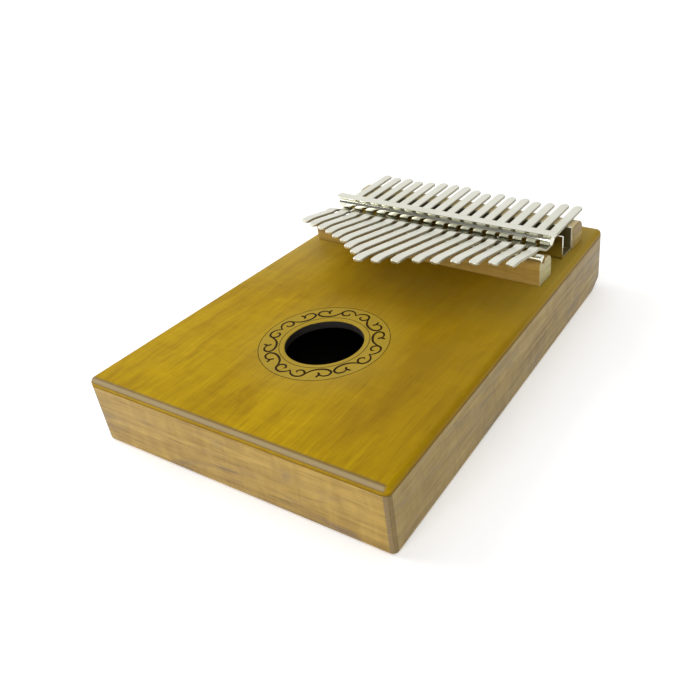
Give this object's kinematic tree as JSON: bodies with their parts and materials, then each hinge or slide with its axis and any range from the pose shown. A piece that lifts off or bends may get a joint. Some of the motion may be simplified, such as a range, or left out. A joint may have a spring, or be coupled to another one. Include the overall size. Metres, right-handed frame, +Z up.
{
  "type": "thumb piano",
  "caption": "Tapered hollow wooden box with a round sound hole and a row of plucked steel keys clamped over bridges by a pressure rod.",
  "frame": {"origin": "centre of the box's underside, below the middle of its length and width", "axes": "+X to the right as seen from the sound-hole end, +Y along the box towards the key tails, +Z up out of the soundboard"},
  "size_m": [0.1284, 0.185, 0.0503],
  "materials": {
    "golden_wood": "golden brown stain under gloss lacquer",
    "side_wood": "open-grained tan wood, satin lacquer",
    "plain_wood": "unfinished pale plywood",
    "beech": "pale beech, satin lacquer",
    "polished_steel": "nickel plated, polished",
    "key_steel": "nickel plated spring steel, satin",
    "screw_steel": "plated steel"
  },
  "bodies": {
    "root": {"soundboard": "golden_wood", "back_panel": "plain_wood", "front_wall": "side_wood", "rear_wall": "side_wood", "left_wall": "side_wood", "right_wall": "side_wood", "key_block": "plain_wood", "front_bridge": "beech", "saddle_rod": "polished_steel", "key_bracket": "polished_steel", "bracket_screws": "screw_steel", "rear_bridge": "beech", "pressure_rod": "polished_steel", "clamp_strip": "polished_steel", "clamp_screws": "screw_steel"},
    "key_01_tail": {"key_01_tail": "key_steel"},
    "key_01_blade": {"key_01_blade": "key_steel"},
    "key_02_tail": {"key_02_tail": "key_steel"},
    "key_02_blade": {"key_02_blade": "key_steel"},
    "key_03_tail": {"key_03_tail": "key_steel"},
    "key_03_blade": {"key_03_blade": "key_steel"},
    "key_04_tail": {"key_04_tail": "key_steel"},
    "key_04_blade": {"key_04_blade": "key_steel"},
    "key_05_tail": {"key_05_tail": "key_steel"},
    "key_05_blade": {"key_05_blade": "key_steel"},
    "key_06_tail": {"key_06_tail": "key_steel"},
    "key_06_blade": {"key_06_blade": "key_steel"},
    "key_07_tail": {"key_07_tail": "key_steel"},
    "key_07_blade": {"key_07_blade": "key_steel"},
    "key_08_tail": {"key_08_tail": "key_steel"},
    "key_08_blade": {"key_08_blade": "key_steel"},
    "key_09_tail": {"key_09_tail": "key_steel"},
    "key_09_blade": {"key_09_blade": "key_steel"},
    "key_10_tail": {"key_10_tail": "key_steel"},
    "key_10_blade": {"key_10_blade": "key_steel"},
    "key_11_tail": {"key_11_tail": "key_steel"},
    "key_11_blade": {"key_11_blade": "key_steel"},
    "key_12_tail": {"key_12_tail": "key_steel"},
    "key_12_blade": {"key_12_blade": "key_steel"},
    "key_13_tail": {"key_13_tail": "key_steel"},
    "key_13_blade": {"key_13_blade": "key_steel"},
    "key_14_tail": {"key_14_tail": "key_steel"},
    "key_14_blade": {"key_14_blade": "key_steel"},
    "key_15_tail": {"key_15_tail": "key_steel"},
    "key_15_blade": {"key_15_blade": "key_steel"},
    "key_16_tail": {"key_16_tail": "key_steel"},
    "key_16_blade": {"key_16_blade": "key_steel"},
    "key_17_tail": {"key_17_tail": "key_steel"},
    "key_17_blade": {"key_17_blade": "key_steel"}
  },
  "joints": [
    {"name": "key_01_tune", "type": "slide", "parent": "root", "child": "key_01_tail", "axis": [0, 1, 0], "range_m": [-0.0015, 0.0015]},
    {"name": "key_01_pluck", "type": "hinge", "parent": "key_01_tail", "child": "key_01_blade", "pos_m": [-0.05, 0.036, 0.0409], "axis": [1, 0, 0], "range_deg": [-3, 5], "stiffness_Nm_per_rad": 1},
    {"name": "key_02_tune", "type": "slide", "parent": "root", "child": "key_02_tail", "axis": [0, 1, 0], "range_m": [-0.0015, 0.0015]},
    {"name": "key_02_pluck", "type": "hinge", "parent": "key_02_tail", "child": "key_02_blade", "pos_m": [-0.04375, 0.036, 0.0409], "axis": [1, 0, 0], "range_deg": [-3, 5], "stiffness_Nm_per_rad": 1},
    {"name": "key_03_tune", "type": "slide", "parent": "root", "child": "key_03_tail", "axis": [0, 1, 0], "range_m": [-0.0015, 0.0015]},
    {"name": "key_03_pluck", "type": "hinge", "parent": "key_03_tail", "child": "key_03_blade", "pos_m": [-0.0375, 0.036, 0.0409], "axis": [1, 0, 0], "range_deg": [-3, 5], "stiffness_Nm_per_rad": 1},
    {"name": "key_04_tune", "type": "slide", "parent": "root", "child": "key_04_tail", "axis": [0, 1, 0], "range_m": [-0.0015, 0.0015]},
    {"name": "key_04_pluck", "type": "hinge", "parent": "key_04_tail", "child": "key_04_blade", "pos_m": [-0.03125, 0.036, 0.0409], "axis": [1, 0, 0], "range_deg": [-3, 5], "stiffness_Nm_per_rad": 1},
    {"name": "key_05_tune", "type": "slide", "parent": "root", "child": "key_05_tail", "axis": [0, 1, 0], "range_m": [-0.0015, 0.0015]},
    {"name": "key_05_pluck", "type": "hinge", "parent": "key_05_tail", "child": "key_05_blade", "pos_m": [-0.025, 0.036, 0.0409], "axis": [1, 0, 0], "range_deg": [-3, 5], "stiffness_Nm_per_rad": 1},
    {"name": "key_06_tune", "type": "slide", "parent": "root", "child": "key_06_tail", "axis": [0, 1, 0], "range_m": [-0.0015, 0.0015]},
    {"name": "key_06_pluck", "type": "hinge", "parent": "key_06_tail", "child": "key_06_blade", "pos_m": [-0.01875, 0.036, 0.0409], "axis": [1, 0, 0], "range_deg": [-3, 5], "stiffness_Nm_per_rad": 1},
    {"name": "key_07_tune", "type": "slide", "parent": "root", "child": "key_07_tail", "axis": [0, 1, 0], "range_m": [-0.0015, 0.0015]},
    {"name": "key_07_pluck", "type": "hinge", "parent": "key_07_tail", "child": "key_07_blade", "pos_m": [-0.0125, 0.036, 0.0409], "axis": [1, 0, 0], "range_deg": [-3, 5], "stiffness_Nm_per_rad": 1},
    {"name": "key_08_tune", "type": "slide", "parent": "root", "child": "key_08_tail", "axis": [0, 1, 0], "range_m": [-0.0015, 0.0015]},
    {"name": "key_08_pluck", "type": "hinge", "parent": "key_08_tail", "child": "key_08_blade", "pos_m": [-0.00625, 0.036, 0.0409], "axis": [1, 0, 0], "range_deg": [-3, 5], "stiffness_Nm_per_rad": 1},
    {"name": "key_09_tune", "type": "slide", "parent": "root", "child": "key_09_tail", "axis": [0, 1, 0], "range_m": [-0.0015, 0.0015]},
    {"name": "key_09_pluck", "type": "hinge", "parent": "key_09_tail", "child": "key_09_blade", "pos_m": [0, 0.036, 0.0409], "axis": [1, 0, 0], "range_deg": [-3, 5], "stiffness_Nm_per_rad": 1},
    {"name": "key_10_tune", "type": "slide", "parent": "root", "child": "key_10_tail", "axis": [0, 1, 0], "range_m": [-0.0015, 0.0015]},
    {"name": "key_10_pluck", "type": "hinge", "parent": "key_10_tail", "child": "key_10_blade", "pos_m": [0.00625, 0.036, 0.0409], "axis": [1, 0, 0], "range_deg": [-3, 5], "stiffness_Nm_per_rad": 1},
    {"name": "key_11_tune", "type": "slide", "parent": "root", "child": "key_11_tail", "axis": [0, 1, 0], "range_m": [-0.0015, 0.0015]},
    {"name": "key_11_pluck", "type": "hinge", "parent": "key_11_tail", "child": "key_11_blade", "pos_m": [0.0125, 0.036, 0.0409], "axis": [1, 0, 0], "range_deg": [-3, 5], "stiffness_Nm_per_rad": 1},
    {"name": "key_12_tune", "type": "slide", "parent": "root", "child": "key_12_tail", "axis": [0, 1, 0], "range_m": [-0.0015, 0.0015]},
    {"name": "key_12_pluck", "type": "hinge", "parent": "key_12_tail", "child": "key_12_blade", "pos_m": [0.01875, 0.036, 0.0409], "axis": [1, 0, 0], "range_deg": [-3, 5], "stiffness_Nm_per_rad": 1},
    {"name": "key_13_tune", "type": "slide", "parent": "root", "child": "key_13_tail", "axis": [0, 1, 0], "range_m": [-0.0015, 0.0015]},
    {"name": "key_13_pluck", "type": "hinge", "parent": "key_13_tail", "child": "key_13_blade", "pos_m": [0.025, 0.036, 0.0409], "axis": [1, 0, 0], "range_deg": [-3, 5], "stiffness_Nm_per_rad": 1},
    {"name": "key_14_tune", "type": "slide", "parent": "root", "child": "key_14_tail", "axis": [0, 1, 0], "range_m": [-0.0015, 0.0015]},
    {"name": "key_14_pluck", "type": "hinge", "parent": "key_14_tail", "child": "key_14_blade", "pos_m": [0.03125, 0.036, 0.0409], "axis": [1, 0, 0], "range_deg": [-3, 5], "stiffness_Nm_per_rad": 1},
    {"name": "key_15_tune", "type": "slide", "parent": "root", "child": "key_15_tail", "axis": [0, 1, 0], "range_m": [-0.0015, 0.0015]},
    {"name": "key_15_pluck", "type": "hinge", "parent": "key_15_tail", "child": "key_15_blade", "pos_m": [0.0375, 0.036, 0.0409], "axis": [1, 0, 0], "range_deg": [-3, 5], "stiffness_Nm_per_rad": 1},
    {"name": "key_16_tune", "type": "slide", "parent": "root", "child": "key_16_tail", "axis": [0, 1, 0], "range_m": [-0.0015, 0.0015]},
    {"name": "key_16_pluck", "type": "hinge", "parent": "key_16_tail", "child": "key_16_blade", "pos_m": [0.04375, 0.036, 0.0409], "axis": [1, 0, 0], "range_deg": [-3, 5], "stiffness_Nm_per_rad": 1},
    {"name": "key_17_tune", "type": "slide", "parent": "root", "child": "key_17_tail", "axis": [0, 1, 0], "range_m": [-0.0015, 0.0015]},
    {"name": "key_17_pluck", "type": "hinge", "parent": "key_17_tail", "child": "key_17_blade", "pos_m": [0.05, 0.036, 0.0409], "axis": [1, 0, 0], "range_deg": [-3, 5], "stiffness_Nm_per_rad": 1}
  ]
}
